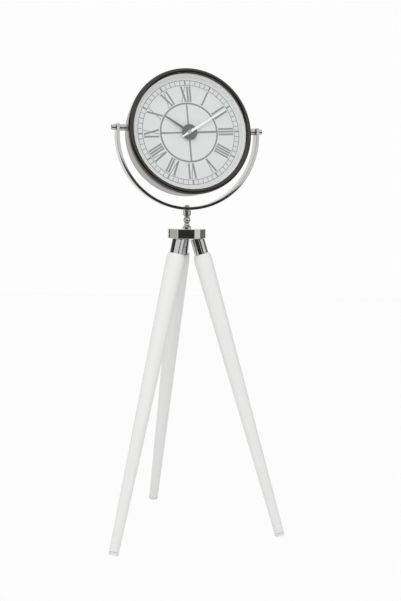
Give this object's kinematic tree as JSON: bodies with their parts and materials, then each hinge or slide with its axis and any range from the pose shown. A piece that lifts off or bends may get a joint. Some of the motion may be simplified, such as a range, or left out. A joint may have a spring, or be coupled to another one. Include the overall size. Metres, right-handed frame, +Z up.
{
  "type": "tripod table clock",
  "caption": "Round quartz clock head in a chrome yoke that swivels and tilts, on a tripod of tapered wooden legs that fold in at a chrome hub.",
  "frame": {"origin": "on the floor, at the middle of the box round the three feet", "axes": "+Z up, the dial faces -Y, +X to the right of someone who faces the dial, so the yoke's tilt axis runs along X"},
  "size_m": [0.2479, 0.2233, 0.6304],
  "materials": {
    "chrome": "polished chrome plate on turned or spun steel",
    "dark_chrome": "dark polished plate, near black",
    "bright_hand": "bright stamped sheet",
    "steel": "plain zinc-plated hardware",
    "painted_wood": "turned hardwood, white satin paint",
    "pale_plastic": "moulded foot glide",
    "black_plastic": "moulded, fine grain",
    "pale_enamel": "pale silver paint, satin",
    "clear_glass": "clear flat glass",
    "brass": "stamped or turned",
    "rubber": "soft gasket",
    "copper": "enamelled winding",
    "green_board": "circuit board lacquer",
    "battery_sleeve": "printed-film sleeve, plain"
  },
  "bodies": {
    "tripod_hub": {"hub_disc": "chrome", "keeper_plate": "steel", "keeper_screw_left": "steel", "keeper_screw_right": "steel", "keeper_screw_rear": "steel", "hinge_pin_left": "steel", "hinge_pin_right": "steel", "hinge_pin_rear": "steel", "centre_bolt": "steel", "stem_base": "chrome", "stem_ball": "chrome", "swivel_washer": "black_plastic", "yoke_nut": "chrome"},
    "left_leg": {"ferrule_left": "chrome", "leg_left": "painted_wood", "leg_bolt_left": "steel", "foot_pad_left": "pale_plastic"},
    "right_leg": {"ferrule_right": "chrome", "leg_right": "painted_wood", "leg_bolt_right": "steel", "foot_pad_right": "pale_plastic"},
    "rear_leg": {"ferrule_rear": "chrome", "leg_rear": "painted_wood", "leg_bolt_rear": "steel", "foot_pad_rear": "pale_plastic"},
    "yoke": {"stem_neck": "chrome", "yoke_strap": "chrome"},
    "clock_head": {"case_shell": "chrome", "bezel": "dark_chrome", "glass": "clear_glass", "inner_rim": "pale_enamel", "dial_plate": "pale_enamel", "pivot_stud_left": "steel", "pivot_stud_right": "steel", "pivot_spacer_left": "chrome", "pivot_spacer_right": "chrome", "rear_cover": "black_plastic", "cover_screw_1": "steel", "cover_screw_2": "steel", "cover_screw_3": "steel", "movement_housing": "black_plastic", "movement_lid": "black_plastic", "movement_gasket": "rubber", "bush_nut": "brass", "bush_washer": "brass", "coil": "copper", "circuit_board": "green_board", "battery": "battery_sleeve", "battery_contact_plus": "brass", "battery_contact_minus": "brass"},
    "left_knob": {"pivot_knob_left": "chrome"},
    "right_knob": {"pivot_knob_right": "chrome"},
    "minute_work": {"minute_arbor": "brass", "minute_hand": "bright_hand", "hand_cap": "chrome"},
    "hour_work": {"hour_wheel": "brass", "hour_hand": "dark_chrome"},
    "time_setter": {"setting_wheel": "brass", "set_knob": "black_plastic"}
  },
  "joints": [
    {"name": "left_leg_fold", "type": "hinge", "parent": "tripod_hub", "child": "left_leg", "pos_m": [-0.01482, -0.03766, 0.4104], "axis": [0.549, -0.8358, 0], "range_deg": [0, 14]},
    {"name": "right_leg_fold", "type": "hinge", "parent": "tripod_hub", "child": "right_leg", "pos_m": [0.00776, -0.03636, 0.4104], "axis": [0.4493, 0.8934, 0], "range_deg": [0, 14]},
    {"name": "rear_leg_fold", "type": "hinge", "parent": "tripod_hub", "child": "rear_leg", "pos_m": [-0.00466, -0.01746, 0.4104], "axis": [-0.9983, -0.0576, 0], "range_deg": [0, 14]},
    {"name": "head_pan", "type": "hinge", "parent": "tripod_hub", "child": "yoke", "pos_m": [-0.00391, -0.0305, 0.44], "axis": [0, 0, 1], "continuous": true},
    {"name": "head_tilt", "type": "hinge", "parent": "yoke", "child": "clock_head", "pos_m": [-0.00391, -0.0305, 0.55], "axis": [1, 0, 0], "continuous": true},
    {"name": "left_knob_turn", "type": "hinge", "parent": "clock_head", "child": "left_knob", "pos_m": [-0.00391, -0.0305, 0.55], "axis": [-1, 0, 0], "range_deg": [0, 180]},
    {"name": "right_knob_turn", "type": "hinge", "parent": "clock_head", "child": "right_knob", "pos_m": [-0.00391, -0.0305, 0.55], "axis": [1, 0, 0], "range_deg": [0, 180]},
    {"name": "minute_hand_turn", "type": "hinge", "parent": "clock_head", "child": "minute_work", "pos_m": [-0.00391, -0.0313, 0.54537], "axis": [0, 0.9854, -0.1702], "continuous": true},
    {"name": "hour_hand_turn", "type": "hinge", "parent": "clock_head", "child": "hour_work", "pos_m": [-0.00391, -0.0313, 0.54537], "axis": [0, 0.9854, -0.1702], "continuous": true},
    {"name": "time_set_turn", "type": "hinge", "parent": "clock_head", "child": "time_setter", "pos_m": [0.00493, -0.02979, 0.55408], "axis": [0, 0.9854, -0.1702], "continuous": true}
  ],
  "couplings": [
    {"joint": "hour_hand_turn", "follows": "minute_hand_turn", "ratio": 0.083333},
    {"joint": "time_set_turn", "follows": "minute_hand_turn", "ratio": -0.33333}
  ]
}
